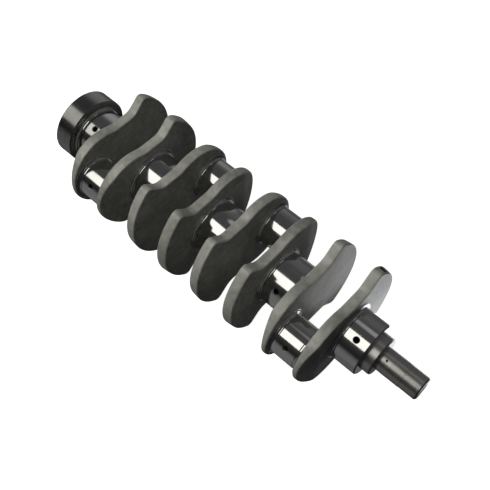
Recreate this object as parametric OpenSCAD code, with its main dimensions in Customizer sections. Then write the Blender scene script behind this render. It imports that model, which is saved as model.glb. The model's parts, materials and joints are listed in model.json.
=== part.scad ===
// Crankshaft of a small in-line four-cylinder engine.
// The crank axis lies along X, with the snout towards +X and the flywheel flange towards -X.
// The origin is on the crank axis at the middle of main journal 3. Crankpins 1 and 4 point
// towards -Y, crankpins 2 and 3 towards +Y, and Z is square to the plane of the throws.

/* [Journals] */
// Diameter of the five main journals
main_d = 60; // [54:1:66]
// Diameter of the four crankpins
pin_d = 46; // [40:1:50]
// Distance from one cylinder's centre to the next
cylinder_spacing = 93; // [88:1:104]
// Crank throw, which is half the stroke
throw = 43.5; // [38:0.5:50]
// Length of each crankpin between the webs beside it
pin_len = 33; // [28:0.5:38]
// Length of the front main journal, from web 1 to its front shoulder
front_main_len = 30.5; // [26:0.5:38]
// Length of the rear main journal, from web 8 to the flange
rear_main_len = 31.5; // [28:0.5:40]
// Radius of the rolled fillet in the corners of every journal
fillet_r = 3; // [2:0.25:3.5]
// Depth of that fillet's undercut below the ground wall
undercut = 0.3; // [0.1:0.1:0.6]

/* [Webs] */
// Thickness of each web, measured between its two machined cheeks
web_t = 13.5; // [12:0.5:17]
// Width of the machined cheek ring around each journal
cheek_w = 4; // [3.5:0.5:6]
// Height of the cheek rings above the forged face
cheek_h = 0.8; // [0.4:0.2:1.6]
// Metal left outside the cheek ring at the nose of a web
nose_margin = 1; // [0.5:0.5:5]
// How much the round nose is wider than the waist, on each side
nose_swell = 4.5; // [3:0.5:8]
// Radius of the hollow between nose and waist
neck_r = 20; // [10:1:30]
// Length of the bevel that thins the nose on the side of the main journal
nose_bevel_run = 22; // [12:1:26]
// Depth of that bevel at the tip of the nose
nose_bevel_depth = 6.5; // [2:0.5:7]
// Metal left beside the main journal at the waist of a web
waist_wall = 12; // [8:1:16]
// Radius from the crank axis to the rim of the counterweights
rim_r = 71; // [66:1:78]
// Angle between a counterweight's flank and the line of the throw
flank_angle = 43; // [35:1:60]
// Distance from the crank axis to where the flank leaves the waist
flank_start = 23; // [18:1:30]
// Radius of the round corner between flank and rim
corner_r = 7; // [3:0.5:12]
// Radius of the hollow between waist and flank
hollow_r = 14; // [6:1:18]
// Size of the bevels along the rim's two edges
rim_bevel = 1.5; // [0.5:0.5:2.5]
// How much smaller the rim is beside the main journal than beside the crankpin, in radius
rim_draft = 1; // [1:0.5:6]
// Radius of the balance drillings in the rims of webs 1 and 8
balance_r = 4; // [3:0.5:5]
// Depth of those drillings
balance_depth = 9; // [4:1:14]
// Angles from the middle of the counterweight at which webs 1 and 8 are drilled
balance_angles = [-43, 30];

/* [Front end] */
// Diameter of the shoulder behind the snout
seat_d = 43; // [38:1:50]
// Length of the shoulder behind the snout
seat_len = 11; // [8:1:16]
// Diameter of the snout
snout_d = 26; // [24:1:34]
// Length of the snout
snout_len = 48; // [40:1:60]
// Height of the step up to the snout's rear stretch, where the sprocket and its key sit
sprocket_step = 0.25; // [0.2:0.05:0.5]
// Radius of the tapped hole in the snout's end
snout_hole_r = 5.2; // [4:0.1:6.5]
// Depth of that hole
snout_hole_depth = 30; // [20:1:40]
// Width of the Woodruff key
key_w = 5; // [4:0.5:6]
// Diameter of the disc that the key is cut from
key_disc_d = 19; // [16:1:22]
// Depth of the key's seat below the snout's surface
key_seat_depth = 5.5; // [4:0.25:6.5]
// Height of the key above the snout's surface
key_proud = 2; // [1.5:0.25:2.5]
// Distance from the shoulder to the middle of the key
key_from_shoulder = 18; // [14:1:26]
// Radius of the small oil hole in the snout
snout_oil_r = 1; // [0.5:0.25:1.5]
// Distance from the shoulder to that hole
snout_oil_from_shoulder = 7; // [4:0.5:12]
// Angle from +Z towards -Y of that hole
snout_oil_angle = 24; // [0:1:60]

/* [Flange] */
// How far the flange stands out beyond the rear main journal; its rim is the oil seal's surface
flange_lip = 10; // [6:0.5:12]
// Thickness of the flange
flange_t = 24.5; // [18:0.5:30]
// Bevel on the flange's front edge
flange_bevel = 1.5; // [0.5:0.5:4]
// Metal left outside the flywheel bolts' holes
bolt_wall = 5.6; // [5:0.1:6.5]
// Number of flywheel bolts
bolt_count = 6; // [5:1:8]
// Radius of the flywheel bolts' tapped holes
bolt_hole_r = 4.4; // [3.4:0.1:5]
// Depth of the flywheel bolts' holes
bolt_hole_depth = 15; // [12:0.5:15.5]
// Radius of the flywheel dowel
dowel_r = 5; // [3:0.5:6]
// How much thicker the dowel is where it is held in the flange, in radius
dowel_step = 0.25; // [0.2:0.05:0.4]
// How far the dowel is pressed into the flange
dowel_in = 9; // [7:0.5:12]
// How far the dowel stands out of the flange
dowel_out = 8; // [5:0.5:12]

/* [Pilot bearing] */
// Outer diameter of the bearing and of its seat in the flange
bearing_od = 35; // [32:1:36]
// Bore of the bearing
bearing_bore = 15; // [14:0.5:15.5]
// Width of the bearing
bearing_w = 11; // [10:0.5:12]
// How far the bearing sits below the flange's rear face
bearing_set_in = 1.5; // [1:0.25:3]
// Number of balls
ball_count = 8; // [6:1:8]
// Radius of the balls
ball_r = 2.95; // [2.6:0.05:3]
// Gap between the balls and what they run in or are held by
ball_gap = 0.15; // [0.1:0.01:0.2]
// Height of each race's shoulder above the bottom of its groove
race_shoulder = 0.95; // [0.6:0.05:1.2]

/* [Oil ways] */
// Radius of the straight drillings from the mains to the crankpins
oil_way_r = 2.5; // [2:0.25:3]
// Radius of the holes drilled into main journals 1, 2, 4 and 5, where they meet the oil ways
cross_hole_r = 2.8; // [2:0.1:3.5]
// Width of the bevel around every oil hole
oil_bevel = 1; // [0.5:0.25:1.5]
// Angle from the line of the throw to a crankpin's oil outlet
outlet_angle = 35; // [25:1:50]
// Angles from +Z towards -Y of the holes into main journals 1 to 5; -1 leaves a journal undrilled
cross_angles = [29, 54, -1, 54, 23];

/* [Hidden] */
$fn = 96;
// Small overlap that lets a cut run past the face it opens
past = 1;
// Small extra radius that makes an arc cross what it blends into, instead of only touching it
blend = 0.01;
edge_chamfer = 1.2;
main_r = main_d / 2;
pin_r = pin_d / 2;
main_len = cylinder_spacing - pin_len - 2 * web_t;
forged_t = web_t - 2 * cheek_h;
nose_tip = throw + pin_r + cheek_w + nose_margin;
waist = main_r + waist_wall;
nose_r = waist + nose_swell;
nose_centre = nose_tip - nose_r;
flange_d = main_d + 2 * flange_lip;
bolt_pcd = flange_d - 2 * (bolt_wall + bolt_hole_r);
throw_x = [for (k = [1 : 4]) (2.5 - k) * cylinder_spacing];
main_x = [for (k = [1 : 5]) (3 - k) * cylinder_spacing];
front_face_x = throw_x[0] + pin_len / 2 + web_t;
shoulder_x = front_face_x + front_main_len;
snout_x = shoulder_x + seat_len;
sprocket_r = snout_d / 2 + sprocket_step;
sprocket_len = key_from_shoulder + key_disc_d / 2 + 0.5;
rear_face_x = throw_x[3] - pin_len / 2 - web_t;
flange_x = rear_face_x - rear_main_len;
flange_rear_x = flange_x - flange_t;
dowel_angle = 180 / bolt_count;
// 1 where the throw points towards -Y, 0 where it points towards +Y
throw_turned = [1, 0, 0, 1];
// Side of the crankpin on which its oil comes in: 1 from the main in front, -1 from behind
fed_from = [1, 1, -1, -1];
// Bearing races
bearing_r = bearing_od / 2;
bore_r = bearing_bore / 2;
pitch_r = (bearing_r + bore_r) / 2;
groove_r = ball_r + ball_gap;
inner_shoulder_r = pitch_r - groove_r + race_shoulder;
outer_shoulder_r = pitch_r + groove_r - race_shoulder;
shield_t = 0.6;
shield_inset = 0.4;
shield_lip = 0.4;
cage_t = 1.6;
cage_w = 2 * ball_r + 2.2;

forged = [0.32, 0.32, 0.31];
ground = [0.78, 0.78, 0.76];
turned = [0.62, 0.61, 0.57];
hardened = [0.70, 0.72, 0.74];
brass_cage = [0.66, 0.52, 0.28];

// ---- placing ----

// A shape turned about Z, laid along the crank axis from x towards the snout
module along_axis(x) {
    translate([x, 0, 0]) rotate([0, 90, 0]) children();
}

// A shape drawn for a throw towards +Y, moved to throw k
module at_throw(k) {
    translate([throw_x[k - 1], 0, 0]) rotate([180 * throw_turned[k - 1], 0, 0]) children();
}

// A cylinder of radius r from point a to point b
module rod(a, b, r) {
    d = b - a;
    tilt = acos(d[2] / norm(d));
    translate(a) rotate([0, tilt, atan2(d[1], d[0])]) cylinder(h = norm(d), r = r);
}

// ---- oil ways ----

// The straight drilling of throw k, from the crankpin's surface to the middle of its main journal
module oil_way(k) {
    outward = [0, cos(outlet_angle), -sin(outlet_angle)];
    centre = [0, throw, 0];
    main_end = [fed_from[k - 1] * cylinder_spacing / 2, 0, 0];
    outlet = centre + pin_r * outward;
    run = outlet - main_end;
    at_throw(k) {
        rod(main_end, outlet + past * run / norm(run), oil_way_r);
        rod(outlet - oil_bevel * outward, outlet + past * outward, oil_way_r + oil_bevel);
    }
}

// The hole drilled into main journal k to just past its axis, with a bevelled mouth
module cross_hole(k) {
    a = cross_angles[k - 1];
    translate([main_x[k - 1], 0, 0]) rotate([a, 0, 0]) {
        translate([0, 0, -cross_hole_r]) cylinder(h = main_r + cross_hole_r + past, r = cross_hole_r);
        translate([0, 0, main_r - oil_bevel])
            cylinder(h = oil_bevel + past, r1 = cross_hole_r, r2 = cross_hole_r + oil_bevel + past);
    }
}

// ---- journals ----

// Half section of a journal of radius r and length len, with a rolled fillet at each chosen end
module journal_section(r, len, low_fillet, high_fillet) {
    flare = r + fillet_r - undercut;
    difference() {
        union() {
            square([r, len]);
            if (low_fillet) square([flare, fillet_r]);
            if (high_fillet) translate([0, len - fillet_r]) square([flare, fillet_r]);
        }
        if (low_fillet) translate([flare, fillet_r]) circle(fillet_r);
        if (high_fillet) translate([flare, len - fillet_r]) circle(fillet_r);
        if (!high_fillet)
            translate([r, len])
                rotate(45) square(edge_chamfer * sqrt(2), center = true);
    }
}

module journal(x, r, len, low_fillet = true, high_fillet = true) {
    along_axis(x) rotate_extrude() journal_section(r, len, low_fillet, high_fillet);
}

module main_journal(k) {
    low = k == 5 ? flange_x : k == 1 ? front_face_x : main_x[k - 1] - main_len / 2;
    len = k == 5 ? rear_main_len : k == 1 ? front_main_len : main_len;
    color(ground) difference() {
        journal(low, main_r, len, true, k != 1);
        if (cross_angles[k - 1] >= 0) cross_hole(k);
        for (t = [1 : 4])
            if (main_x[k - 1] == throw_x[t - 1] + fed_from[t - 1] * cylinder_spacing / 2) oil_way(t);
    }
}

module crankpin(k) {
    color(ground) difference() {
        at_throw(k) translate([0, throw, 0]) journal(-pin_len / 2, pin_r, pin_len);
        oil_way(k);
    }
}

// ---- webs ----

// The flank of a counterweight is the line at distance flank_h from the axis, with outward
// normal away and direction along. It is drawn for the side of positive v.
away = [sin(flank_angle), cos(flank_angle)];
along = [-cos(flank_angle), sin(flank_angle)];
flank_h = away[0] * -flank_start + away[1] * waist;
// Middle of the round corner, one corner_r inside both the flank and the rim
corner_run = sqrt(pow(rim_r - corner_r, 2) - pow(flank_h - corner_r, 2));
corner_c = (flank_h - corner_r) * away + corner_run * along;
// Middle of the hollow, one hollow_r outside both the waist and the flank
hollow_c = [(flank_h + hollow_r - away[1] * (waist + hollow_r)) / away[0], waist + hollow_r];
// Middle of the neck's hollow, one neck_r outside both the waist and the nose
neck_c = [nose_centre - sqrt(pow(nose_r + neck_r, 2) - pow(waist + neck_r, 2)), waist + neck_r];

// What fills the corner under a hollow: from its middle c to the waist and to the point foot
module hollow_fill(c, r, foot) {
    difference() {
        polygon([c, [c[0], waist - past], foot]);
        translate(c) circle(r + blend);
    }
}

// The counterweight, drawn past its rim, which the rim's section cuts
module counterweight_outline() {
    far = 2 * rim_r;
    ray = far * corner_c / norm(corner_c);
    polygon([[0, 0], ray, [-far, ray[1]], [-far, -ray[1]], [ray[0], -ray[1]]]);
    for (side = [0, 1]) mirror([0, side]) {
        polygon([[0, 0], [0, waist], [-flank_start, waist], corner_c + corner_r * away, corner_c]);
        translate(corner_c) circle(corner_r + blend);
        hollow_fill(hollow_c, hollow_r, hollow_c - (hollow_r + past) * away);
    }
}

// The arm: waist beside the main journal, neck, and round nose outside the crankpin
module arm_outline() {
    to_nose = ([nose_centre, 0] - neck_c) / (nose_r + neck_r);
    translate([nose_centre, 0]) circle(nose_r);
    translate([-flank_start, -waist]) square([flank_start + nose_centre, 2 * waist]);
    for (side = [0, 1]) mirror([0, side])
        hollow_fill(neck_c, neck_r, neck_c + (neck_r + past) * to_nose);
}

// Half section that gives the counterweight its rim, drawn in towards the main journal
module rim_section() {
    half = forged_t / 2;
    low_r = rim_r - rim_draft;
    polygon([[0, -half], [low_r - rim_bevel, -half], [low_r, -half + rim_bevel],
        [rim_r, half - rim_bevel], [rim_r - rim_bevel, half], [0, half]]);
}

// Section of what the nose's bevel takes off, with the main journal towards negative x
module nose_bevel_section() {
    slope = [nose_bevel_depth, nose_bevel_run];
    low = [-forged_t / 2, nose_tip - nose_bevel_run] - slope / 4;
    high = low + 1.5 * slope;
    polygon([low, high, [low[0], high[1]]]);
}

// An outline in the plane across the crank axis, made into a plate as thick as a forged web
module forged_plate() {
    rotate([90, 0, 90]) translate([0, 0, -forged_t / 2]) linear_extrude(forged_t) children();
}

// A web for a throw towards +Y, centred on x = 0, with its crankpin towards +X
module web_body() {
    difference() {
        union() {
            forged_plate() arm_outline();
            intersection() {
                forged_plate() counterweight_outline();
                along_axis(0) rotate_extrude() rim_section();
            }
        }
        translate([0, 0, -rim_r]) linear_extrude(2 * rim_r) nose_bevel_section();
    }
    along_axis(-web_t / 2) cylinder(h = web_t / 2, r = main_r + cheek_w);
    translate([0, throw, 0]) along_axis(0) cylinder(h = web_t / 2, r = pin_r + cheek_w);
}

// A balance drilling into the rim of a web for a throw towards +Y, centred on x = 0
module balance_hole(angle) {
    outward = [0, -cos(angle), sin(angle)];
    rod((rim_r - balance_depth) * outward, (rim_r + past) * outward, balance_r);
}

module web(k) {
    t = ceil(k / 2);
    pin_side = k % 2 == 1 ? -1 : 1;
    color(forged) difference() {
        at_throw(t) translate([-pin_side * (pin_len + web_t) / 2, 0, 0]) difference() {
            mirror([pin_side < 0 ? 1 : 0, 0, 0]) web_body();
            if (k == 1) balance_hole(balance_angles[0]);
            if (k == 8) balance_hole(balance_angles[1]);
        }
        if (fed_from[t - 1] == -pin_side) oil_way(t);
    }
}

// ---- front end ----

module pump_drive_seat() {
    color(turned) along_axis(shoulder_x) {
        cylinder(h = seat_len - edge_chamfer, d = seat_d);
        translate([0, 0, seat_len - edge_chamfer])
            cylinder(h = edge_chamfer, d1 = seat_d, d2 = seat_d - 2 * edge_chamfer);
    }
}

// The disc that cuts the key's seat and is the key's own round side
module key_disc() {
    disc_z = -(sprocket_r - key_seat_depth + key_disc_d / 2);
    translate([snout_x + key_from_shoulder, 0, disc_z])
        rotate([90, 0, 0]) cylinder(h = key_w, d = key_disc_d, center = true);
}

module front_snout() {
    end_chamfer = 1.5;
    color(turned) difference() {
        along_axis(snout_x) {
            cylinder(h = sprocket_len, r = sprocket_r);
            cylinder(h = snout_len - end_chamfer, d = snout_d);
            translate([0, 0, snout_len - end_chamfer])
                cylinder(h = end_chamfer, d1 = snout_d, d2 = snout_d - 2 * end_chamfer);
        }
        along_axis(snout_x + snout_len - snout_hole_depth)
            cylinder(h = snout_hole_depth + past, r = snout_hole_r);
        along_axis(snout_x + snout_len - end_chamfer)
            cylinder(h = end_chamfer + past, r1 = snout_hole_r, r2 = snout_hole_r + end_chamfer + past);
        key_disc();
        translate([snout_x + snout_oil_from_shoulder, 0, 0]) rotate([snout_oil_angle, 0, 0])
            cylinder(h = sprocket_r + past, r = snout_oil_r);
    }
}

module woodruff_key() {
    key_top = sprocket_r + key_proud;
    color(hardened) intersection() {
        key_disc();
        translate([snout_x, -key_w, -key_top]) cube([snout_len, 2 * key_w, key_top]);
    }
}

// ---- flange ----

module rear_flange() {
    relief_r = bearing_r - 4;
    seat_depth = bearing_set_in + bearing_w;
    color(turned) difference() {
        along_axis(flange_rear_x) {
            cylinder(h = edge_chamfer, d1 = flange_d - 2 * edge_chamfer, d2 = flange_d);
            translate([0, 0, edge_chamfer]) cylinder(h = flange_t - edge_chamfer - flange_bevel, d = flange_d);
            translate([0, 0, flange_t - flange_bevel])
                cylinder(h = flange_bevel, d1 = flange_d, d2 = flange_d - 2 * flange_bevel);
        }
        along_axis(flange_rear_x - past) {
            cylinder(h = seat_depth + past, r = bearing_r);
            cylinder(h = flange_t + 2 * past, r = relief_r);
            for (i = [0 : bolt_count - 1]) rotate(i * 360 / bolt_count) translate([bolt_pcd / 2, 0, 0]) {
                cylinder(h = bolt_hole_depth + past, r = bolt_hole_r);
                cylinder(h = past + oil_bevel, r1 = bolt_hole_r + oil_bevel + past, r2 = bolt_hole_r);
            }
            rotate(dowel_angle) translate([bolt_pcd / 2, 0, 0])
                cylinder(h = dowel_in + past, r = dowel_r + dowel_step);
        }
    }
}

module flywheel_dowel() {
    tip = 1;
    color(hardened) along_axis(flange_rear_x)
        rotate(dowel_angle) translate([bolt_pcd / 2, 0, 0]) {
            cylinder(h = dowel_in, r = dowel_r + dowel_step);
            translate([0, 0, tip - dowel_out]) cylinder(h = dowel_out - tip, r = dowel_r);
            translate([0, 0, -dowel_out]) cylinder(h = tip, r1 = dowel_r - tip, r2 = dowel_r);
        }
}

// ---- pilot bearing ----

// A shape drawn round Z about the bearing's middle, moved into the flange
module at_bearing() {
    along_axis(flange_rear_x + bearing_set_in + bearing_w / 2) children();
}

// One race from radius a to radius b, grooved for the balls
module race(a, b) {
    difference() {
        translate([a, -bearing_w / 2]) square([b - a, bearing_w]);
        translate([pitch_r, 0]) circle(groove_r);
    }
}

// Section of a shield, seated in the outer ring's edge and clear of the inner ring
module shield_section() {
    translate([inner_shoulder_r + shield_lip, bearing_w / 2 - shield_inset - shield_t])
        square([outer_shoulder_r - inner_shoulder_r, shield_t]);
}

module pilot_outer_ring() {
    color(hardened) at_bearing() rotate_extrude() difference() {
        race(outer_shoulder_r, bearing_r);
        shield_section();
        mirror([0, 1]) shield_section();
    }
}

module pilot_inner_ring() {
    color(hardened) at_bearing() rotate_extrude() race(bore_r, inner_shoulder_r);
}

module pilot_balls() {
    color(ground) at_bearing()
        for (i = [0 : ball_count - 1]) rotate(i * 360 / ball_count) translate([pitch_r, 0, 0]) sphere(ball_r);
}

module pilot_cage() {
    color(brass_cage) at_bearing() difference() {
        rotate_extrude() translate([pitch_r - cage_t / 2, -cage_w / 2]) square([cage_t, cage_w]);
        for (i = [0 : ball_count - 1])
            rotate([0, 90, i * 360 / ball_count]) cylinder(h = bearing_r, r = groove_r);
    }
}

module pilot_shield(front) {
    color(hardened) at_bearing() mirror([0, 0, front ? 0 : 1]) rotate_extrude() shield_section();
}

front_snout();
pump_drive_seat();
main_journal(1);  // main_journal_1
main_journal(2);  // main_journal_2
main_journal(3);  // main_journal_3
main_journal(4);  // main_journal_4
main_journal(5);  // main_journal_5
crankpin(1);  // crankpin_1
crankpin(2);  // crankpin_2
crankpin(3);  // crankpin_3
crankpin(4);  // crankpin_4
web(1);  // web_1
web(2);  // web_2
web(3);  // web_3
web(4);  // web_4
web(5);  // web_5
web(6);  // web_6
web(7);  // web_7
web(8);  // web_8
rear_flange();
woodruff_key();
flywheel_dowel();
pilot_outer_ring();
pilot_inner_ring();
pilot_balls();
pilot_cage();
pilot_shield(true);  // pilot_shield_front
pilot_shield(false);  // pilot_shield_rear
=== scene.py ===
"""Looks of the crankshaft: forged webs, ground journals, turned ends and the pilot bearing.

Lengths in this file are in millimetres until a mesh is made. X is the crank axis, towards the snout.
"""

import json
import math

import bpy
import numpy as np
from mathutils import Matrix, Vector
from mathutils.geometry import delaunay_2d_cdt


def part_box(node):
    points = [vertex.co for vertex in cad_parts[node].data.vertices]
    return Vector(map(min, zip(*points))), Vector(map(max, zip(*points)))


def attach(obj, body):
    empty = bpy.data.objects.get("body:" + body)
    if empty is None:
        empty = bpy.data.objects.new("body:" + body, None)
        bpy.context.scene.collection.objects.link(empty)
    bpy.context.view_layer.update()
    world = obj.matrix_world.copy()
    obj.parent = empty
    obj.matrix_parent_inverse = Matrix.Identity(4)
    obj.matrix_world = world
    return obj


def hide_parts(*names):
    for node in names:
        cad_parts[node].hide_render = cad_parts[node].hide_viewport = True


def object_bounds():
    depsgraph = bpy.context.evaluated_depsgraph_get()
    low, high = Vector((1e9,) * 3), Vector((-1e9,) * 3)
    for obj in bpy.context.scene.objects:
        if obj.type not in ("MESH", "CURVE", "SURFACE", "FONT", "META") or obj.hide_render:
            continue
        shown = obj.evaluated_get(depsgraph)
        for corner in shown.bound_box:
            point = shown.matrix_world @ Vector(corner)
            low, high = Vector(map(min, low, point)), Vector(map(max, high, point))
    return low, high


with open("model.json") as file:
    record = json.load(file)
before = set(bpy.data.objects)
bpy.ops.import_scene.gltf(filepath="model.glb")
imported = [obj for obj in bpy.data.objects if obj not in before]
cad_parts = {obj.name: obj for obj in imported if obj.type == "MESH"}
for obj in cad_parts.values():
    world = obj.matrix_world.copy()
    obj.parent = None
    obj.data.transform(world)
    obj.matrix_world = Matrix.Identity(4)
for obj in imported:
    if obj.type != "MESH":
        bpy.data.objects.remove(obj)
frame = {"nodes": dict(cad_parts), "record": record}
cad_low, cad_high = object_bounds()

MM = 0.001
TURN = 2 * math.pi
CRANK = "crankshaft"
MOUNTS = {m["name"]: m for m in frame["record"]["mounts"]}
TINY = 1e-6


def cad_box(node):
    """Lowest and highest corner of a CAD node, in millimetres."""
    low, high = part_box(node)
    return np.array(low) / MM, np.array(high) / MM


def mount_size(name, key="r_mm"):
    return MOUNTS[name]["dims"][key]


def mount_place(name):
    return np.array(MOUNTS[name]["pos_m"]) / MM


# ---------------------------------------------------------------- sizes
# What the frame gives is read from it; the rest repeats the sizes of the CAD.

MAIN_R = mount_size("main_journal_3")
PIN_R = mount_size("crankpin_1")
THROW = abs(mount_place("crankpin_1")[1])
# rolled fillet in the corners of a journal, undercut a little below its wall
FILLET = 3.0
FLARE = FILLET - 0.3
# machined ring round a journal: its width, and its height above the forged face
CHEEK_W = 4.0
CHEEK_H = 0.8
WEB_T = cad_box("web_3")[1][0] - cad_box("web_3")[0][0]
FORGED_HALF = WEB_T / 2 - CHEEK_H
TIP = cad_box("web_3")[1][1]
RIM_R = -cad_box("web_3")[0][1]
WAIST = MAIN_R + 12.0
NOSE_R = WAIST + 4.5
# the bevel that thins a nose beside the main journal, and how much the rim draws in there
NOSE_BEVEL = 6.5
NOSE_BEVEL_RUN = 22.0
RIM_DRAFT = 1.0
NECK_R = 20.0
FLANK_ANGLE = math.radians(43.0)
FLANK_START = 23.0
CORNER_R = 7.0
HOLLOW_R = 14.0
# rounding of a web's edges, and how far its wall bulges between them
EDGE_R = 1.25
CROWN = 0.15
OIL_R = 2.5
CROSS_R = 2.8
OIL_BEVEL = 1.0
OUTLET = math.radians(35.0)
# angles from +Z towards -Y of the holes into the main journals
CROSS_ANGLES = {1: 29.0, 2: 54.0, 4: 54.0, 5: 23.0}
# angles from the middle of the counterweight of the drillings that balance webs 1 and 8
BALANCE = {1: -43.0, 8: 30.0}
BALANCE_R = 4.0
BALANCE_DEPTH = 9.0
DOWEL_STEP = 0.25
DOWEL_IN = 9.0
EDGE_BEVEL = 1.2
SNOUT_HOLE_DEPTH = 30.0
SPROCKET_LEN = 28.0
KEY_DISC_R = 9.5
SNOUT_OIL_R = 1.0
SNOUT_OIL_FROM_SHOULDER = 7.0
SNOUT_OIL_ANGLE = math.radians(24.0)
BOLT_HOLE_DEPTH = 15.0
GROOVE_R = 3.1
SHIELD_GAP = 0.4
# the sides of the throws and where their oil comes in: 1 is towards +Y, or towards the snout
THROW_SIGN = {1: -1, 2: 1, 3: 1, 4: -1}
FED_FROM = {1: 1, 2: 1, 3: -1, 4: -1}
PIN_X = {k: mount_place(f"crankpin_{k}")[0] for k in THROW_SIGN}
SPACING = PIN_X[1] - PIN_X[2]


# ---------------------------------------------------------------- materials


class Nodes:
    """A short way to write shader nodes."""

    def __init__(self, tree):
        self.tree = tree

    def add(self, kind, inputs=None, **settings):
        node = self.tree.nodes.new(kind)
        for key, value in settings.items():
            setattr(node, key, value)
        for key, value in (inputs or {}).items():
            if isinstance(value, bpy.types.NodeSocket):
                self.tree.links.new(value, node.inputs[key])
            else:
                node.inputs[key].default_value = value
        return node

    def noise(self, vector, scale, detail=4.0, rough=0.55):
        inputs = {"Vector": vector, "Scale": scale, "Detail": detail, "Roughness": rough}
        return self.add("ShaderNodeTexNoise", inputs).outputs["Fac"]

    def stretch(self, vector, x, y, z):
        inputs = {"Vector": vector, "Scale": (x, y, z)}
        return self.add("ShaderNodeMapping", inputs).outputs["Vector"]

    def remap(self, value, a, b, c, d):
        inputs = {"Value": value, "From Min": a, "From Max": b, "To Min": c, "To Max": d}
        return self.add("ShaderNodeMapRange", inputs).outputs["Result"]

    def math(self, operation, a, b):
        return self.add("ShaderNodeMath", {0: a, 1: b}, operation=operation).outputs["Value"]

    def blend(self, a, a_share, b, b_share):
        """Two values added, each times its share."""
        return self.math("ADD", self.math("MULTIPLY", a, a_share), self.math("MULTIPLY", b, b_share))

    def mix(self, fac, a, b):
        node = self.add("ShaderNodeMix", data_type="RGBA")
        for key, value in (("Factor_Float", fac), ("A_Color", a), ("B_Color", b)):
            socket = next(s for s in node.inputs if s.identifier == key)
            if isinstance(value, bpy.types.NodeSocket):
                self.tree.links.new(value, socket)
            else:
                socket.default_value = value
        return next(s for s in node.outputs if s.identifier == "Result_Color")

    def bump(self, height, distance, strength=1.0, normal=None):
        inputs = {"Height": height, "Distance": distance, "Strength": strength}
        if normal is not None:
            inputs["Normal"] = normal
        return self.add("ShaderNodeBump", inputs).outputs["Normal"]


def new_metal(name):
    """A metal material with its node helper, its shader and the object's own coordinates in metres."""
    material = bpy.data.materials.new(name)
    material.use_nodes = True
    nodes = Nodes(material.node_tree)
    shader = material.node_tree.nodes["Principled BSDF"]
    shader.inputs["Metallic"].default_value = 1.0
    place = nodes.add("ShaderNodeTexCoord").outputs["Object"]
    return material, nodes, shader, place


def plug(nodes, shader, **links):
    for key, value in links.items():
        nodes.tree.links.new(value, shader.inputs[key.replace("_", " ")])


def grey(value, warm=0.0):
    return (value * (1 + warm), value, value * (1 - 1.6 * warm), 1.0)


def forged_material():
    """Shot-blasted forging: dark satin scale with a pitted skin, painted lighter along its edges: partly real
    wear, partly a painted highlight.
    """
    material, n, shader, place = new_metal("forged_steel")
    patches = n.noise(place, 22.0, 5.0)
    mottle = n.noise(place, 160.0, 4.0)
    skin = n.noise(place, 900.0, 3.0, 0.6)
    # a band just inside each web's outline, painted lighter below: partly real wear, partly a painted
    # highlight of the rounded edges
    worn_and_highlit = n.add("ShaderNodeAttribute", attribute_name="wear").outputs["Fac"]
    edge = n.remap(n.math("ADD", worn_and_highlit, n.math("MULTIPLY", mottle, 0.5)), 0.72, 1.25, 0.0, 1.0)
    tone = n.remap(n.blend(patches, 0.7, mottle, 0.5), 0.48, 0.74, 0.0, 1.0)
    colour = n.mix(tone, (0.33, 0.33, 0.31, 1.0), (0.56, 0.56, 0.525, 1.0))
    # painted highlight along the edges: lighter colour where the band lies, partly real wear
    colour = n.mix(edge, colour, (0.80, 0.80, 0.76, 1.0))
    rough = n.remap(n.math("ADD", mottle, n.math("MULTIPLY", skin, 0.6)), 0.5, 1.1, 0.42, 0.56)
    rough = n.math("SUBTRACT", rough, n.math("MULTIPLY", edge, 0.14))
    normal = n.bump(mottle, 0.0006, 0.5)
    normal = n.bump(skin, 0.00014, 0.45, normal)
    metal = n.remap(edge, 0.0, 1.0, 0.3, 0.8)
    plug(n, shader, Base_Color=colour, Metallic=metal, Roughness=rough, Normal=normal)
    return material


def ground_material(name="ground_steel", tone=0.66, rough_low=0.07, rough_high=0.14):
    """Ground and polished bearing surface, with very fine lines round its axis (X)."""
    material, n, shader, place = new_metal(name)
    lines = n.noise(n.stretch(place, 5200.0, 22.0, 22.0), 1.0, 3.0, 0.6)
    film = n.noise(place, 60.0, 4.0)
    smudge = n.noise(n.stretch(place, 90.0, 40.0, 40.0), 1.0, 3.0)
    colour = n.mix(film, grey(tone * 0.90, 0.012), grey(tone * 1.05, 0.006))
    rough = n.remap(n.blend(lines, 0.6, smudge, 0.6), 0.40, 0.80, rough_low, rough_high)
    normal = n.bump(lines, 0.000004, 0.35)
    plug(n, shader, Base_Color=colour, Roughness=rough, Normal=normal)
    return material


def cheek_material():
    """Machined cheek ring; the ring attribute holds the distance to the ring's own axis in metres."""
    material, n, shader, place = new_metal("machined_cheek")
    ring = n.add("ShaderNodeAttribute", attribute_name="ring").outputs["Fac"]
    along = n.add("ShaderNodeCombineXYZ", {"X": ring}).outputs["Vector"]
    lines = n.noise(n.stretch(along, 2600.0, 1.0, 1.0), 1.0, 3.0, 0.6)
    film = n.noise(place, 90.0, 4.0)
    colour = n.mix(film, grey(0.42, 0.02), grey(0.55, 0.02))
    rough = n.remap(lines, 0.3, 0.7, 0.20, 0.30)
    normal = n.bump(lines, 0.00002, 0.5)
    plug(n, shader, Base_Color=colour, Roughness=rough, Normal=normal)
    return material


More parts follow.
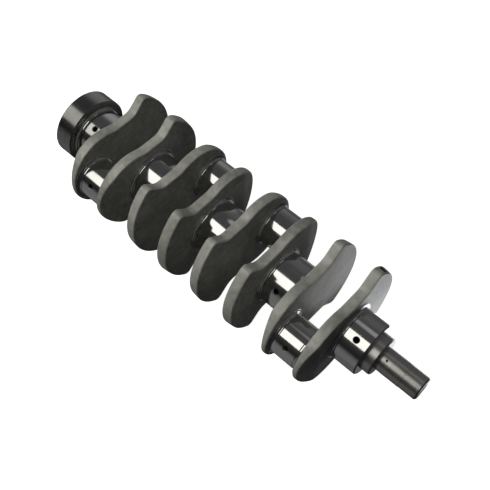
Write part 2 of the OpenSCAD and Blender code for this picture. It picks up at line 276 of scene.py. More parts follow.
def turned_material(name="turned_steel", low=0.44, high=0.60, rough=0.34, warm=0.035):
    """Finely turned steel with feed marks round X and a thin oily film."""
    material, n, shader, place = new_metal(name)
    lines = n.noise(n.stretch(place, 2400.0, 14.0, 14.0), 1.0, 4.0, 0.65)
    bands = n.noise(n.stretch(place, 260.0, 9.0, 9.0), 1.0, 3.0)
    film = n.noise(place, 45.0, 5.0)
    tone = n.remap(n.blend(bands, 0.5, film, 0.5), 0.32, 0.68, 0.0, 1.0)
    colour = n.mix(tone, grey(low, warm), grey(high, warm * 0.7))
    roughness = n.remap(n.blend(lines, 0.7, film, 0.4), 0.35, 0.80, rough * 0.75, rough * 1.25)
    normal = n.bump(lines, 0.000016, 0.5)
    plug(n, shader, Base_Color=colour, Roughness=roughness, Normal=normal)
    return material


def simple_metal(name, low, high, rough, scale, depth):
    """Small metal parts: tone, roughness and skin all varied by noise at one scale."""
    material, n, shader, place = new_metal(name)
    film = n.noise(place, scale, 4.0)
    grain = n.noise(place, scale * 9.0, 3.0)
    colour = n.mix(film, low, high)
    roughness = n.remap(n.blend(film, 0.5, grain, 0.5), 0.3, 0.7, rough * 0.75, rough * 1.3)
    plug(n, shader, Base_Color=colour, Roughness=roughness, Normal=n.bump(grain, depth, 0.4))
    return material


MATERIALS = {
    "forged": forged_material(),
    "ground": ground_material(),
    "cheek": cheek_material(),
    "turned": turned_material(),
    "rim": turned_material("turned_rim", 0.28, 0.38, 0.20, 0.02),
    # near-black bores: painted shade inside the drilled holes, much darker than drilled steel
    "hole": simple_metal("drilled_bore", grey(0.10), grey(0.18), 0.45, 300.0, 0.00003),
    "hardened": simple_metal("hardened_steel", grey(0.40), grey(0.52), 0.22, 120.0, 0.000008),
    "race": ground_material("bearing_steel", 0.70, 0.06, 0.12),
    "brass": simple_metal(
        "cage_brass", (0.52, 0.38, 0.16, 1.0), (0.66, 0.50, 0.24, 1.0), 0.28, 140.0, 0.00001
    ),
    "shield": simple_metal("shield_steel", grey(0.46), grey(0.58), 0.24, 160.0, 0.000012),
}

# ---------------------------------------------------------------- mesh helpers


def make_piece(name, points, faces, material, node, body=CRANK, place=(0.0, 0.0, 0.0), sharp=20.0):
    """A piece from points in millimetres about its own place, which stands for a CAD node."""
    mesh = bpy.data.meshes.new(name)
    mesh.from_pydata([tuple(p) for p in np.asarray(points, float) * MM], [], [tuple(f) for f in faces])
    mesh.validate()
    piece = bpy.data.objects.new(name, mesh)
    bpy.context.scene.collection.objects.link(piece)
    piece.location = [c * MM for c in place]
    for m in material if isinstance(material, list) else [material]:
        mesh.materials.append(MATERIALS[m])
    mesh.shade_smooth()
    mesh.set_sharp_from_angle(angle=math.radians(sharp))
    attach(piece, body)
    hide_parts(*([node] if isinstance(node, str) else node))
    return piece


def rounded(corners, step=0.12):
    """A profile of (x, r, fillet) corners as a list of points, with each corner rounded to its fillet."""
    points = []
    count = len(corners)
    for i, (x, r, fillet) in enumerate(corners):
        here = np.array((x, r), float)
        before = np.array(corners[i - 1][:2], float) - here
        after = np.array(corners[(i + 1) % count][:2], float) - here
        if fillet <= 0 or np.linalg.norm(before) < TINY or np.linalg.norm(after) < TINY:
            points.append(here)
            continue
        a, b = before / np.linalg.norm(before), after / np.linalg.norm(after)
        if np.linalg.norm(a + b) < TINY:
            points.append(here)
            continue
        angle = math.acos(max(-1.0, min(1.0, float(a @ b))))
        reach = fillet / math.tan(angle / 2)
        bisector = (a + b) / np.linalg.norm(a + b)
        centre = here + bisector * fillet / math.sin(angle / 2)
        start, end = here + a * reach, here + b * reach
        if reach + step < np.linalg.norm(before) * 0.5:
            points.append(start + a * step)
        n = max(3, int(math.degrees(math.pi - angle) / 14))
        p, q = start - centre, end - centre
        sweep = math.atan2(p[0] * q[1] - p[1] * q[0], float(p @ q))
        for k in range(n + 1):
            c, s = math.cos(sweep * k / n), math.sin(sweep * k / n)
            points.append(centre + np.array((p[0] * c - p[1] * s, p[0] * s + p[1] * c)))
        if reach + step < np.linalg.norm(after) * 0.5:
            points.append(end + b * step)
    return points


def lathe(profile, segments=160, ring=False):
    """Points and faces of a profile of (x, r) turned about X. A ring's profile closes on itself."""
    points, rows = [], []
    angles = [TURN * k / segments for k in range(segments)]
    for x, r in profile:
        if r < TINY:
            rows.append([len(points)])
            points.append((x, 0.0, 0.0))
        else:
            rows.append(list(range(len(points), len(points) + segments)))
            points.extend((x, r * math.cos(a), r * math.sin(a)) for a in angles)
    faces = []
    pairs = list(zip(rows, rows[1:])) + ([(rows[-1], rows[0])] if ring else [])
    for low, high in pairs:
        for k in range(segments):
            j = (k + 1) % segments
            if len(low) == 1 and len(high) == 1:
                continue
            if len(low) == 1:
                faces.append((low[0], high[k], high[j]))
            elif len(high) == 1:
                faces.append((low[k], high[0], low[j]))
            else:
                faces.append((low[k], high[k], high[j], low[j]))
    if signed_volume(points, faces) < 0:
        faces = [f[::-1] for f in faces]
    return points, faces


def signed_volume(points, faces):
    p = np.asarray(points, float)
    total = 0.0
    for f in faces:
        for k in range(1, len(f) - 1):
            total += float(np.dot(p[f[0]], np.cross(p[f[k]], p[f[k + 1]])))
    return total


def cutter(profile, place, direction, segments=40, material="hole"):
    """A tool for a boolean cut: a profile turned about X, then laid from place along direction."""
    points, faces = lathe(profile, segments)
    mesh = bpy.data.meshes.new("cutter")
    mesh.from_pydata([tuple(p) for p in np.asarray(points, float) * MM], [], faces)
    mesh.shade_smooth()
    mesh.materials.append(MATERIALS[material])
    tool = bpy.data.objects.new("cutter", mesh)
    bpy.context.scene.collection.objects.link(tool)
    turn = Vector((1, 0, 0)).rotation_difference(Vector(tuple(direction)))
    tool.matrix_world = Matrix.Translation(Vector(tuple(place)) * MM) @ turn.to_matrix().to_4x4()
    return tool


def cut(piece, tools, sharp=20.0):
    """Cuts the tools out of the piece, and removes them."""
    bpy.context.view_layer.update()
    for tool in tools:
        modifier = piece.modifiers.new("cut", "BOOLEAN")
        modifier.operation = "DIFFERENCE"
        modifier.solver = "EXACT"
        modifier.material_mode = "TRANSFER"
        modifier.object = tool
    mesh = bpy.data.meshes.new_from_object(piece.evaluated_get(bpy.context.evaluated_depsgraph_get()))
    piece.modifiers.clear()
    old = piece.data
    piece.data = mesh
    bpy.data.meshes.remove(old)
    mesh.name = piece.name
    mesh.set_sharp_from_angle(angle=math.radians(sharp))
    for tool in tools:
        gone = tool.data
        bpy.data.objects.remove(tool)
        bpy.data.meshes.remove(gone)


def round_normals(piece, radius):
    """Gives the wall of that radius exact normals, so that its reflections run straight past its holes."""
    mesh = piece.data
    normals = np.array([tuple(n.vector) for n in mesh.corner_normals], float)
    points = np.array([tuple(v.co) for v in mesh.vertices], float) / MM
    for face in mesh.polygons:
        flat = np.array(face.normal)
        for loop in face.loop_indices:
            p = points[mesh.loops[loop].vertex_index]
            out = np.array((0.0, p[1], p[2]))
            length = np.linalg.norm(out)
            if abs(length - radius) < 0.02 and flat @ out > 0.998 * length:
                normals[loop] = out / length
    mesh.normals_split_custom_set([tuple(n) for n in normals])


# ---------------------------------------------------------------- webs


def arc(centre, radius, start, end, step):
    """Points along an arc in the plane of a web, without its last point."""
    n = max(3, math.ceil(abs(end - start) * radius / step))
    angles = [start + (end - start) * k / n for k in range(n)]
    return [(centre[0] + radius * math.cos(a), centre[1] + radius * math.sin(a)) for a in angles]


def web_outline(step=1.25):
    """The closed outline of a web and its outward normals: u towards the crankpin, v across the throw."""
    away = np.array((math.sin(FLANK_ANGLE), math.cos(FLANK_ANGLE)))
    along = np.array((-math.cos(FLANK_ANGLE), math.sin(FLANK_ANGLE)))
    flank = -away[0] * FLANK_START + away[1] * WAIST
    run = math.sqrt((RIM_R - CORNER_R) ** 2 - (flank - CORNER_R) ** 2)
    corner = (flank - CORNER_R) * away + run * along
    hollow = ((flank + HOLLOW_R - away[1] * (WAIST + HOLLOW_R)) / away[0], WAIST + HOLLOW_R)
    nose = TIP - NOSE_R
    neck = (nose - math.sqrt((NOSE_R + NECK_R) ** 2 - (WAIST + NECK_R) ** 2), WAIST + NECK_R)
    neck_turn = math.atan2(neck[1], neck[0] - nose)
    away_turn = math.atan2(away[1], away[0])
    half = arc((nose, 0.0), NOSE_R, 0.0, neck_turn, step)
    half += arc(neck, NECK_R, neck_turn - math.pi, -math.pi / 2, step)
    gap = neck[0] - hollow[0]
    steps = max(2, math.ceil(gap / step))
    half += [(neck[0] - gap * k / steps, WAIST) for k in range(steps)]
    half += arc(hollow, HOLLOW_R, -math.pi / 2, away_turn - math.pi, step * 0.8)
    start = np.array(hollow) - HOLLOW_R * away
    end = corner + CORNER_R * away
    steps = max(2, math.ceil(float(np.linalg.norm(end - start)) / step))
    half += [tuple(start + (end - start) * k / steps) for k in range(steps)]
    half += arc(corner, CORNER_R, away_turn, math.atan2(corner[1], corner[0]), step * 0.6)
    half += arc((0.0, 0.0), RIM_R, math.atan2(corner[1], corner[0]), math.pi, step)
    points = np.array(half + [(-RIM_R, 0.0)] + [(u, -v) for u, v in half[:0:-1]])
    ahead = np.roll(points, -1, axis=0) - np.roll(points, 1, axis=0)
    out = np.stack([ahead[:, 1], -ahead[:, 0]], axis=1)
    return points, out / np.linalg.norm(out, axis=1)[:, None]


def distance_to(points, outline):
    """Distance from each point to a closed outline."""
    a, b = outline, np.roll(outline, -1, axis=0)
    ab = b - a
    best = np.full(len(points), 1e9)
    for i in range(0, len(points), 2000):
        p = points[i : i + 2000, None, :]
        t = np.clip(((p - a) * ab).sum(-1) / (ab * ab).sum(-1), 0, 1)
        best[i : i + 2000] = np.linalg.norm(p - (a + t[..., None] * ab), axis=-1).min(1)
    return best


def smooth_least(a, b, k):
    h = np.clip(0.5 + 0.5 * (b - a) / k, 0, 1)
    return b + (a - b) * h - k * h * (1 - h)


def ripple(u, v, seed):
    """The slow unevenness of a forged face."""
    return (
        np.sin(u / 7.3 + 1.7 * seed) * np.cos(v / 9.1 - 2.3 * seed)
        + 0.6 * np.sin(u / 15.0 - v / 11.0 + 4.1 * seed)
        + 0.4 * np.cos(u / 4.9 + v / 6.1 + 0.9 * seed)
    )


def face_height(u, v, d, pin_side, seed):
    """Height of a web's face above its middle plane. d is the distance in from the outline."""
    base = FORGED_HALF - 0.3 * (np.abs(v) / 56.0) ** 1.5 + 0.07 * ripple(u, v, seed) * np.clip(d / 5.0, 0, 1)
    if not pin_side:
        bevel_start = TIP - NOSE_BEVEL_RUN
        bevel = FORGED_HALF - NOSE_BEVEL * (u - bevel_start) / NOSE_BEVEL_RUN
        base = smooth_least(base, bevel, 1.2)
    inside = np.clip(EDGE_R - d, 0, EDGE_R)
    height = base - (EDGE_R - np.sqrt(EDGE_R**2 - inside**2))
    ring, radius = cheek_distance(u, v, pin_side)
    cheek = WEB_T / 2 - 1.4 * np.clip(ring - (radius + CHEEK_W - 0.55), 0, None)
    return -smooth_least(-height, -cheek, 0.25), ring


def cheek_distance(u, v, pin_side):
    """Distance to the axis of the journal on that side, and the journal's radius."""
    return np.hypot(u - (THROW if pin_side else 0.0), v), (PIN_R if pin_side else MAIN_R)


def web_face(outline, out, pin_side, seed):
    """One face of a web as points, triangles and the points that lie on the outline."""
    loops = []
    depths = (0.0, 0.22, 0.6, 1.1, 1.8, 2.5, 3.4, 4.6)
    for depth in depths:
        loops.append(outline - depth * out)
    known = [np.full(len(outline), depth) for depth in depths]
    centre = np.array((THROW if pin_side else 0.0, 0.0))
    radius = PIN_R if pin_side else MAIN_R
    angles = np.linspace(0, TURN, 121)[:-1]
    near_edge = [CHEEK_W + extra for extra in (-0.75, -0.5, -0.2, 0.1, 0.45, 1.6)]
    for extra in [-9.0, -3.0, 1.5] + near_edge:
        circle = centre + (radius + extra) * np.stack([np.cos(angles), np.sin(angles)], 1)
        loops.append(circle)
        known.append(None)
    step = 2.6
    grid = [
        (step * (i + 0.5 * (j % 2)), step * 0.866 * j) for i in range(-30, 31) for j in range(-26, 27)
    ]
    grid = np.array(grid)
    low = distance_to(grid, outline)
    ring = np.linalg.norm(grid - centre, axis=1)
    within = inside_outline(grid, outline) & (low > 5.6)
    within &= (
        (ring < radius - 10.5)
        | ((ring > radius - 7.5) & (ring < radius - 4.5))
        | (ring > radius + CHEEK_W + 3.0)
    )
    points, edges = [], []
    keep_known = []
    for loop, depth in zip(loops, known):
        if depth is None:
            inner = inside_outline(loop, outline) & (distance_to(loop, outline) > 0.35)
        else:
            inner = np.ones(len(loop), bool)
        index = np.full(len(loop), -1)
        index[inner] = np.arange(len(points), len(points) + inner.sum())
        points.extend(map(tuple, loop[inner]))
        keep_known.extend(depth[inner] if depth is not None else [-1.0] * int(inner.sum()))
        for k in range(len(loop)):
            j = (k + 1) % len(loop)
            if index[k] >= 0 and index[j] >= 0:
                edges.append((int(index[k]), int(index[j])))
    points.extend(map(tuple, grid[within]))
    keep_known.extend([-1.0] * int(within.sum()))
    made, _, faces, origin, _, _ = delaunay_2d_cdt([Vector(p) for p in points], edges, [], 1, 1e-5, True)
    flat = np.array([tuple(p) for p in made], float)
    # the triangulation also fills the hollows of the outline, which stay open
    middles = np.array([flat[list(face)].mean(axis=0) for face in faces])
    faces = [face for face, inside in zip(faces, inside_outline(middles, outline)) if inside]
    depth = distance_to(flat, outline)
    rim = np.full(len(outline), -1)
    for i, sources in enumerate(origin):
        for s in sources:
            if s < len(outline):
                rim[s] = i
            if keep_known[s] >= 0:
                depth[i] = keep_known[s]
    height, ring = face_height(flat[:, 0], flat[:, 1], depth, pin_side, seed)
    return flat, height, faces, rim, depth, ring


def inside_outline(points, outline):
    """Which points lie inside a closed outline."""
    x, y = points[:, 0], points[:, 1]
    inside = np.zeros(len(points), bool)
    for (x0, y0), (x1, y1) in zip(outline, np.roll(outline, -1, axis=0)):
        if y0 == y1:
            continue
        crosses = (y0 > y) != (y1 > y)
        inside ^= crosses & (x < (x1 - x0) * (y - y0) / (y1 - y0) + x0)
    return inside


def build_web(k, outline, out):
    """Web k: two forged faces with their machined cheek rings, joined by the forged wall round them."""
    throw = (k + 1) // 2
    low, high = cad_box(f"web_{k}")
    middle = (low[0] + high[0]) / 2
    side = 1 if PIN_X[throw] > middle else -1
    sign = THROW_SIGN[throw]
    draft = RIM_DRAFT * np.clip((-outline[:, 0] - 6.0) / 24.0, 0, 1) ** 1.5
    points, faces, wear, ring, cheeks = [], [], [], [], set()
    rims = []
    for pin_side in (True, False):
        edge = outline - (CROWN + (0.0 if pin_side else draft[:, None])) * out
        flat, height, triangles, rim, depth, reach = web_face(edge, out, pin_side, k + 0.37 * pin_side)
        first = len(points)
        t = height if pin_side else -height
        points.extend(zip(t, flat[:, 0], flat[:, 1]))
        # a band about 0.7 mm in from the outline, painted lighter in the forged material: partly real wear,
        # partly painted highlight
        wear.extend(np.exp(-(((depth - 0.7) / 0.75) ** 2)))
        ring.extend(reach * MM)
        radius = PIN_R if pin_side else MAIN_R
        for tri in triangles:
            if (reach[list(tri)] < radius + CHEEK_W + 0.06).all():
                cheeks.add(len(faces))
            tri = [first + i for i in tri]
            faces.append(tuple(tri) if pin_side else tuple(tri[::-1]))
        rims.append(rim + first)
    rows = 8
    count = len(outline)
    pin_t = np.array([points[i][0] for i in rims[0]])
    main_t = np.array([points[i][0] for i in rims[1]])
    flash = np.where(outline[:, 0] < 0, 0.3 * np.clip(1 - (outline[:, 1] / 1.3) ** 2, 0, 1), 0.0)
    layers = [rims[0]]
    for row in range(1, rows):
        w = row / rows
        bulge = -CROWN * (2 * w - 1) ** 2 + flash * (1 - (2 * w - 1) ** 4) - draft * w
        wall = outline + bulge[:, None] * out
        layers.append(np.arange(len(points), len(points) + count))
        points.extend(zip(pin_t * (1 - w) + main_t * w, wall[:, 0], wall[:, 1]))
        # a faint band of the same painted highlight near both edges of the wall, partly real wear
        wear.extend([0.15 * (2 * w - 1) ** 4] * count)
        ring.extend([0.1] * count)
    layers.append(rims[1])
    for upper, lower in zip(layers, layers[1:]):
        for i in range(count):
            j = (i + 1) % count
            faces.append((upper[i], lower[i], lower[j], upper[j]))
    p = np.array(points)
    world = np.stack([middle + side * p[:, 0], sign * p[:, 1], sign * p[:, 2]], axis=1)
    faces = [tuple(int(i) for i in f) for f in faces]
    if signed_volume(world, faces) < 0:
        faces = [f[::-1] for f in faces]
    materials = ["forged", "cheek"]
    piece = make_piece(f"web_{k}_forging", world, faces, materials, f"web_{k}", sharp=50.0)
    mesh = piece.data
    for index in cheeks:
        mesh.polygons[index].material_index = 1
    for name, values in (("wear", wear), ("ring", ring)):
        mesh.attributes.new(name, "FLOAT", "POINT").data.foreach_set("value", np.array(values, np.float32))
    tools = []
    if k in BALANCE:
        angle = math.radians(BALANCE[k])
        outward = np.array((0.0, -math.cos(angle) * sign, math.sin(angle) * sign))
        tip = 2.0
        wall_end, end = BALANCE_DEPTH + 1.0, BALANCE_DEPTH + 5.0
        drill = [(0, 0), (tip, BALANCE_R), (wall_end, BALANCE_R), (end, BALANCE_R), (end, 0)]
        start = np.array((middle, 0, 0)) + (RIM_R - BALANCE_DEPTH - 1.5) * outward
        tools.append(cutter(drill, start, outward))
    if (FED_FROM[throw] == 1) == (middle > PIN_X[throw]):
        tools.append(oil_drill(throw))
    if tools:
        cut(piece, tools, 50.0)
    return piece


# ---------------------------------------------------------------- journals


def oil_line(throw):
    """Where a throw's oil way starts inside its main journal and comes out of its crankpin."""
    sign = THROW_SIGN[throw]
    outward = np.array((0.0, math.cos(OUTLET) * sign, -math.sin(OUTLET) * sign))
    start = np.array((PIN_X[throw] + FED_FROM[throw] * SPACING / 2, 0.0, 0.0))
    end = np.array((PIN_X[throw], THROW * sign, 0.0)) + PIN_R * outward
    return start, end, outward


def oil_drill(throw):
    start, end, _ = oil_line(throw)
    run = end - start
    length = float(np.linalg.norm(run))
    return cutter([(0, 0), (0, OIL_R), (length + 2, OIL_R), (length + 2, 0)], start, run / length)


def bevel_tool(place, outward, radius, depth=OIL_BEVEL):
    """A countersink whose mouth opens at place."""
    profile = [(-depth, 0), (-depth, radius * 0.98), (0.0, radius + depth)]
    profile += [(1.5, radius + depth + 1.5), (1.5, 0)]
    return cutter(profile, place, outward, 48, "cheek")


def journal_profile(low, high, radius, fillets):
    """Half section of a journal: rolled fillets where there is a web or flange, a bevelled edge elsewhere."""
    lift = math.asin(FLARE / FILLET)
    swings = [math.pi + (math.pi - lift) * k / 9 for k in range(10)]
    profile = [(low, 0.0)]
    if fillets[0]:
        centre = (low + FILLET, radius + FLARE)
        profile += [(centre[0] + FILLET * math.cos(a), centre[1] + FILLET * math.sin(a)) for a in swings]
    else:
        profile += [(low, radius - EDGE_BEVEL), (low + EDGE_BEVEL, radius)]
    if fillets[1]:
        centre = (high - FILLET, radius + FLARE)
        swings.reverse()
        profile += [(centre[0] - FILLET * math.cos(a), centre[1] + FILLET * math.sin(a)) for a in swings]
    else:
        profile += [(high - EDGE_BEVEL, radius), (high, radius - EDGE_BEVEL)]
    return profile + [(high, 0.0)]


def build_journals():
    for k in range(1, 6):
        name = f"main_journal_{k}"
        low, high = cad_box(name)
        points, faces = lathe(journal_profile(low[0], high[0], MAIN_R, (True, k != 1)), 192)
        piece = make_piece(f"{name}_ground", points, faces, "ground", name)
        middle = PIN_X[1] + SPACING * (1.5 - k)
        tools = [oil_drill(t) for t in FED_FROM if abs(oil_line(t)[0][0] - middle) < 1]
        if k in CROSS_ANGLES:
            angle = math.radians(CROSS_ANGLES[k])
            outward = np.array((0.0, -math.sin(angle), math.cos(angle)))
            centre = np.array((middle, 0.0, 0.0))
            reach = MAIN_R + CROSS_R + 2
            drill = [(0, 0), (0, CROSS_R), (reach, CROSS_R), (reach, 0)]
            tools.append(cutter(drill, centre - CROSS_R * outward, outward))
            tools.append(bevel_tool(centre + (MAIN_R + 0.05) * outward, outward, CROSS_R))
        if tools:
            cut(piece, tools)
            round_normals(piece, MAIN_R)
    for k in range(1, 5):
        name = f"crankpin_{k}"
        low, high = cad_box(name)
        centre = (PIN_X[k], THROW * THROW_SIGN[k], 0.0)
        profile = journal_profile(low[0] - centre[0], high[0] - centre[0], PIN_R, (True, True))
        points, faces = lathe(profile, 168)
        piece = make_piece(f"{name}_ground", points, faces, "ground", name, place=centre)
        _, end, outward = oil_line(k)
        cut(piece, [oil_drill(k), bevel_tool(end + 0.05 * outward, outward, OIL_R)])
        round_normals(piece, PIN_R)


# ---------------------------------------------------------------- front end


def thread(start, end, radius, pitch, depth):
    """Profile of a tapped bore from start to end, as rings a pitch apart."""
    way = 1 if end > start else -1
    count = int(abs(end - start) / pitch)
    points = []
    for k in range(count):
        x = start + way * pitch * k
        points.append((x + way * 0.10 * pitch, radius))
        points.append((x + way * 0.5 * pitch, radius + depth))
        points.append((x + way * 0.9 * pitch, radius))
    return points


def build_front():
    low, high = cad_box("pump_drive_seat")
    seat_r = mount_size("pump_drive_seat")
    start, end = low[0], high[0]
    corners = [(start, 0, 0), (start, seat_r, 0), (end - EDGE_BEVEL, seat_r, 0.3)]
    corners += [(end, seat_r - EDGE_BEVEL, 0.2), (end, 0, 0)]
    points, faces = lathe(rounded(corners), 160)
    make_piece("pump_drive_seat_turned", points, faces, "turned", "pump_drive_seat")

    low, high = cad_box("front_snout")
    snout_r = mount_size("snout")
    hole_r = mount_size("snout_bolt")
    start, end = low[0], high[0]
    seat_r = high[1]
    outside = [(start, 0, 0), (start, seat_r - 0.3, 0), (start + 1.6, seat_r - 0.3, 0.2)]
    outside += [(start + 2.0, seat_r, 0.2), (start + SPROCKET_LEN - 0.2, seat_r, 0.1)]
    outside += [(start + SPROCKET_LEN, snout_r, 0.1)]
    outside += [(end - 1.5, snout_r, 0.4), (end, snout_r - 1.5, 0.3), (end, hole_r + 1.5, 0.15)]
    profile = rounded(outside) + [(end - 1.5, hole_r)]
    bottom = end - SNOUT_HOLE_DEPTH
    profile += thread(end - 2.0, bottom + 4.0, hole_r, 1.25, 0.6)
    profile += [(bottom, hole_r), (bottom, 0.0)]
    points, faces = lathe(profile, 144)
    snout = make_piece("front_snout_turned", points, faces, "turned", "front_snout")
    key_low, key_high = cad_box("woodruff_key")
    key_x = (key_low[0] + key_high[0]) / 2
    key_w = key_high[1] - key_low[1]
    disc_z = key_high[2] - KEY_DISC_R
    seat = [(-key_w / 2, 0), (-key_w / 2, KEY_DISC_R), (key_w / 2, KEY_DISC_R), (key_w / 2, 0)]
    oil = np.array((0.0, -math.sin(SNOUT_OIL_ANGLE), math.cos(SNOUT_OIL_ANGLE)))
    oil_place = np.array((start + SNOUT_OIL_FROM_SHOULDER, 0, 0))
    drill = [(0, 0), (0, SNOUT_OIL_R), (9, SNOUT_OIL_R), (9, 0)]
    tools = [cutter(seat, (key_x, 0, disc_z), (0, 1, 0), 96)]
    tools.append(cutter(drill, oil_place + 7.5 * oil, oil, 24))
    tools.append(bevel_tool(oil_place + (seat_r + 0.02) * oil, oil, SNOUT_OIL_R, 0.3))
    cut(snout, tools)
    round_normals(snout, seat_r)
    build_key(key_x, key_w, KEY_DISC_R, disc_z, key_low[2])


def build_key(x, width, radius, centre_z, top_z):
    """The Woodruff key: a disc's segment with a bevel round every edge, standing proud below the snout."""
    count = 48
    bevel = 0.35
    rows = []
    half = width / 2
    for inset, y in ((bevel, -half), (0.0, -half + bevel), (0.0, half - bevel), (bevel, half)):
        r = radius - inset
        floor = top_z + inset
        swing = math.acos(max(-1.0, min(1.0, (floor - centre_z) / r)))
        row = []
        for k in range(count + 1):
            a = -swing + 2 * swing * k / count
            row.append((r * math.sin(a), y, centre_z + r * math.cos(a)))
        rows.append(row)
    n = count + 1
    points = [p for row in rows for p in row]
    faces = [tuple(range(n - 1, -1, -1)), tuple(range(3 * n, 4 * n))]
    for i in range(3):
        for k in range(n):
            j = (k + 1) % n
            faces.append((i * n + k, i * n + j, (i + 1) * n + j, (i + 1) * n + k))
    if signed_volume(points, faces) < 0:
        faces = [f[::-1] for f in faces]
    name, place = "woodruff_key", (x, 0, 0)
    make_piece(f"{name}_ground", points, faces, "hardened", name, CRANK, place, 25.0)


# ---------------------------------------------------------------- flange and bearing


def build_flange():
    low, high = cad_box("rear_flange")
    rear, front = low[0], high[0]
    radius = mount_size("oil_seal_surface")
    bearing_high = cad_box("pilot_outer_ring")[1]
    seat_r = bearing_high[1]
    seat_end = bearing_high[0]
    relief_r = seat_r - 4.0
    bevel = 1.5
    profile = rounded(
        [
            (rear, seat_r + 0.8, 0.0),
            (rear, radius - EDGE_BEVEL, 0.3),
            (rear + EDGE_BEVEL, radius, 0.3),
            (front - bevel, radius, 0.5),
            (front, radius - bevel, 0.4),
            (front, relief_r, 0.0),
            (seat_end, relief_r, 0.3),
            (seat_end, seat_r, 0.0),
            (rear + 0.8, seat_r, 0.2),
        ]
    )
    points, faces = lathe(profile, 192, ring=True)
    flange = make_piece("rear_flange_turned", points, faces, "rim", "rear_flange")
    circle = mount_size("flywheel_bolts", "pcd_mm") / 2
    hole_r = mount_size("flywheel_bolts", "hole_r_mm")
    count = mount_size("flywheel_bolts", "count")
    tools = []
    for k in range(count):
        angle = TURN * k / count
        place = np.array((rear, circle * math.sin(angle), -circle * math.cos(angle)))
        end = BOLT_HOLE_DEPTH
        bore = [(-1.0, 0), (-1.0, hole_r + 2.0), (1.0, hole_r)]
        bore += thread(1.2, end - 1.5, hole_r, 1.5, 0.7)
        bore += [(end - 0.8, hole_r), (end, hole_r * 0.9), (end, 0)]
        tools.append(cutter(bore, place, (1, 0, 0), 48))
    dowel = mount_place("flywheel_dowel")
    dowel_r = mount_size("flywheel_dowel")
    held_r = dowel_r + DOWEL_STEP
    seat = [(-1, 0), (-1, dowel_r + 1.4), (0.4, held_r), (DOWEL_IN, held_r), (DOWEL_IN, 0)]
    tools.append(cutter(seat, (rear, dowel[1], dowel[2]), (1, 0, 0), 48))
    cut(flange, tools)
    round_normals(flange, radius)

    low, high = cad_box("flywheel_dowel")
    length = high[0] - low[0]
    corners = [(0, 0, 0), (0, dowel_r - 1.0, 0.25), (1.2, dowel_r, 0.35)]
    corners += [(length - DOWEL_IN, dowel_r, 0.0), (length - DOWEL_IN, held_r, 0.1)]
    corners += [(length - 0.6, held_r, 0.2), (length, held_r - 0.5, 0.2), (length, 0, 0)]
    points, faces = lathe(rounded(corners), 64)
    place = (low[0], dowel[1], dowel[2])
    name = "flywheel_dowel"
    make_piece(f"{name}_ground", points, faces, "hardened", name, place=place)


def build_bearing():
    low, high = cad_box("pilot_outer_ring")
    middle = (low[0] + high[0]) / 2
    half = (high[0] - low[0]) / 2
    outer_r = high[1]
    inner_shoulder = cad_box("pilot_inner_ring")[1][1]
    bore_r = mount_size("pilot_bore")
    pitch = (outer_r + bore_r) / 2
    outer_shoulder = pitch + (pitch - inner_shoulder)
    shield_low, shield_high = cad_box("pilot_shield_front")
    shield_r = shield_high[1]
    inner_face = shield_low[0] - middle
    outer_face = shield_high[0] - middle

    def groove_arc(shoulder, way):
        swing = math.acos(abs(shoulder - pitch) / GROOVE_R)
        turns = [swing * (1 - 2 * k / 14) for k in range(15)]
        return [
            (way * GROOVE_R * math.sin(a), pitch + math.copysign(GROOVE_R * math.cos(a), shoulder - pitch))
            for a in turns
        ]

    lip_r = outer_shoulder + 0.2
    corners = [(-half, lip_r, 0.1), (-half, outer_r, 0.6), (half, outer_r, 0.6), (half, lip_r, 0.1)]
    profile = rounded(corners)
    profile += [(outer_face, outer_shoulder), (outer_face, shield_r)]
    profile += [(inner_face, shield_r), (inner_face, outer_shoulder)]
    profile += groove_arc(outer_shoulder, 1)
    profile += [(-inner_face, outer_shoulder), (-inner_face, shield_r)]
    profile += [(-outer_face, shield_r), (-outer_face, outer_shoulder)]
    points, faces = lathe(profile, 144, ring=True)
    name = "pilot_outer_ring"
    make_piece(f"{name}_ground", points, faces, "race", name, place=(middle, 0, 0))

    corners = [(half, inner_shoulder, 0.2), (half, bore_r, 0.6)]
    corners += [(-half, bore_r, 0.6), (-half, inner_shoulder, 0.2)]
    profile = rounded(corners) + groove_arc(inner_shoulder, -1)
    points, faces = lathe(profile, 144, ring=True)
    name, body = "pilot_inner_ring", "pilot_inner"
    make_piece(f"{name}_ground", points, faces, "race", name, body, (middle, 0, 0))

    inner_edge = inner_shoulder + SHIELD_GAP
    bend = (inner_edge + shield_r) / 2
    for name, way in (("pilot_shield_front", 1), ("pilot_shield_rear", -1)):
        near, far = inner_face, outer_face
        section = [(near, inner_edge, 0.1), (near, shield_r, 0.0)]
        section += [(far, shield_r, 0.0), (far, bend + 0.5, 0.2), (far - 0.25, bend - 0.4, 0.2)]
        section += [(far - 0.25, inner_edge + 0.5, 0.1), (far, inner_edge, 0.1)]
        profile = [(way * x, r) for x, r in rounded(section)]
        points, faces = lathe(profile, 144, ring=True)
        make_piece(f"{name}_pressed", points, faces, "shield", name, place=(middle, 0, 0))

    for node, material in (("pilot_balls", "race"), ("pilot_cage", "brass")):
        mesh = frame["nodes"][node].data
        mesh.materials.clear()
        mesh.materials.append(MATERIALS[material])


# ---------------------------------------------------------------- the set


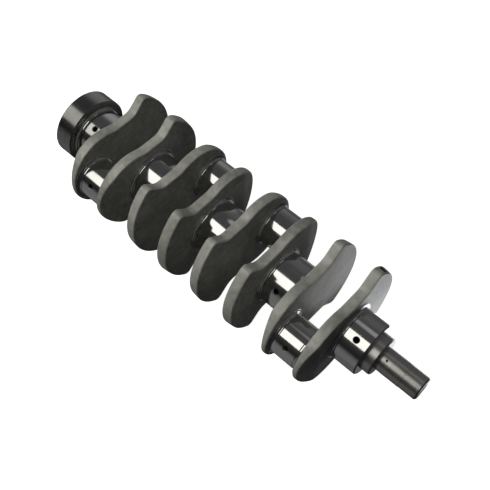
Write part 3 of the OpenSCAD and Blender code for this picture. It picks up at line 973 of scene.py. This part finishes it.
def build_world():
    world = bpy.data.worlds.new("studio")
    bpy.context.scene.world = world
    world.use_nodes = True
    nodes = Nodes(world.node_tree)
    world.node_tree.nodes.clear()
    way = nodes.add("ShaderNodeTexCoord").outputs["Generated"]
    total = None
    # soft patches of light: direction, how wide in degrees, how sharp, strength
    patches = [
        ((0.0, 0.3, 1.0), 100, 60, 0.05),
        ((-0.2, 0.95, -0.05), 62, 40, 0.05),
        ((-0.72, 0.68, 0.10), 32, 22, 0.22),
        ((-0.06, 0.42, 0.90), 13, 8, 0.30),
        ((-0.15, 0.62, -0.76), 34, 24, 0.22),
        ((-0.40, -0.80, -0.45), 36, 26, 0.16),
        ((-0.40, -0.30, -0.86), 26, 20, 0.14),
    ]
    for direction, width, soft, strength in patches:
        aim = tuple(Vector(direction).normalized())
        facing = nodes.add("ShaderNodeVectorMath", {0: way, 1: aim}, operation="DOT_PRODUCT").outputs["Value"]
        far, near = math.cos(math.radians(width)), math.cos(math.radians(width - soft))
        glow = nodes.add(
            "ShaderNodeMapRange",
            {"Value": facing, "From Min": far, "From Max": near, "To Min": 0.0, "To Max": strength},
            interpolation_type="SMOOTHSTEP",
        ).outputs["Result"]
        total = glow if total is None else nodes.math("ADD", total, glow)
    total = nodes.math("ADD", total, 0.02)
    # plain white behind the floor, as the camera sees it
    seen = nodes.add("ShaderNodeLightPath").outputs["Is Camera Ray"]
    total = nodes.math("MAXIMUM", total, seen)
    background = nodes.add("ShaderNodeBackground", {"Color": (0.98, 0.98, 1.0, 1.0), "Strength": total})
    nodes.add("ShaderNodeOutputWorld", {"Surface": background.outputs["Background"]})


def build_light(name, place, aim, width, height, strength, colour, mirrored=True):
    """An area lamp in metres. One that isn't mirrored lights surfaces but makes no highlights."""
    lamp = bpy.data.lights.new(name, "AREA")
    lamp.shape = "RECTANGLE"
    lamp.size, lamp.size_y = width, height
    # power that gives the lamp's face this radiance
    lamp.energy = strength * math.pi * width * height
    lamp.color = colour
    lamp_object = bpy.data.objects.new(name, lamp)
    bpy.context.scene.collection.objects.link(lamp_object)
    back = (Vector(place) - Vector(aim)).normalized()
    across = Vector((1, 0, 0) if abs(back.x) < 0.9 else (0, 1, 0))
    across = (across - across.dot(back) * back).normalized()
    up = back.cross(across)
    turn = Matrix((across, up, back)).transposed().to_4x4()
    lamp_object.matrix_world = Matrix.Translation(Vector(place)) @ turn
    lamp_object.visible_camera = False
    lamp_object.visible_glossy = mirrored
    return lamp_object


def build_set():
    build_world()
    softbox = Vector((-0.43, -0.72, 1.17))
    centre = Vector((0.0, 0.0, 0.0))
    build_light("softbox", softbox, centre, 1.05, 0.98, 1.5, (1.0, 1.0, 0.94))
    build_light("softbox_fill", softbox, centre, 1.05, 0.98, 2.6, (1.0, 1.0, 0.90), mirrored=False)
    # a dimmer strip beside the softbox, seen in the journal and the flange at the rear
    beside = Vector((-0.71, 0.117, -0.19))
    build_light("softbox_end", softbox + beside, centre + beside, 0.44, 0.98, 0.8, (1.0, 1.0, 0.92))
    # a pale card under the front end, seen in the faces that look towards the snout
    card = Vector((0.215, 0.075, cad_low.z + 0.002))
    build_light("front_card", card, card + Vector((0.0, 0.0, 1.0)), 0.15, 0.11, 1.45, (0.94, 0.95, 1.0))
    mesh = bpy.data.meshes.new("floor")
    reach = 6.0
    corners = [(-reach, -reach), (reach, -reach), (reach, reach), (-reach, reach)]
    mesh.from_pydata([(x, y, cad_low.z) for x, y in corners], [], [(0, 1, 2, 3)])
    floor = bpy.data.objects.new("floor", mesh)
    bpy.context.scene.collection.objects.link(floor)
    material = bpy.data.materials.new("pale_floor")
    material.use_nodes = True
    shader = material.node_tree.nodes["Principled BSDF"]
    shader.inputs["Base Color"].default_value = (0.86, 0.86, 0.86, 1.0)
    shader.inputs["Roughness"].default_value = 1.0
    shader.inputs["Specular IOR Level"].default_value = 0.0
    shader.inputs["Emission Color"].default_value = (1.0, 1.0, 1.0, 1.0)
    shader.inputs["Emission Strength"].default_value = 0.95
    mesh.materials.append(material)
    floor.visible_glossy = False
    floor.visible_diffuse = False


def build_camera():
    """The photo's viewpoint, as a place and the directions of the picture's right and up."""
    camera = bpy.data.cameras.new("camera")
    camera.sensor_width = 36.0
    camera.lens = 58.33
    camera.clip_start, camera.clip_end = 0.01, 50.0
    holder = bpy.data.objects.new("camera", camera)
    bpy.context.scene.collection.objects.link(holder)
    right = Vector((0.7341, 0.6790, 0.0068)).normalized()
    up = Vector((-0.5793, 0.6210, 0.5280)).normalized()
    back = right.cross(up).normalized()
    up = back.cross(right)
    place = Vector((322.1, -323.0, 707.9)) * MM
    holder.matrix_world = Matrix.Translation(place) @ Matrix((right, up, back)).transposed().to_4x4()
    bpy.context.scene.camera = holder


outline, outward = web_outline()
for number in range(1, 9):
    build_web(number, outline, outward)
build_journals()
build_front()
build_flange()
build_bearing()
build_set()
build_camera()
bpy.context.scene.view_settings.view_transform = "Standard"
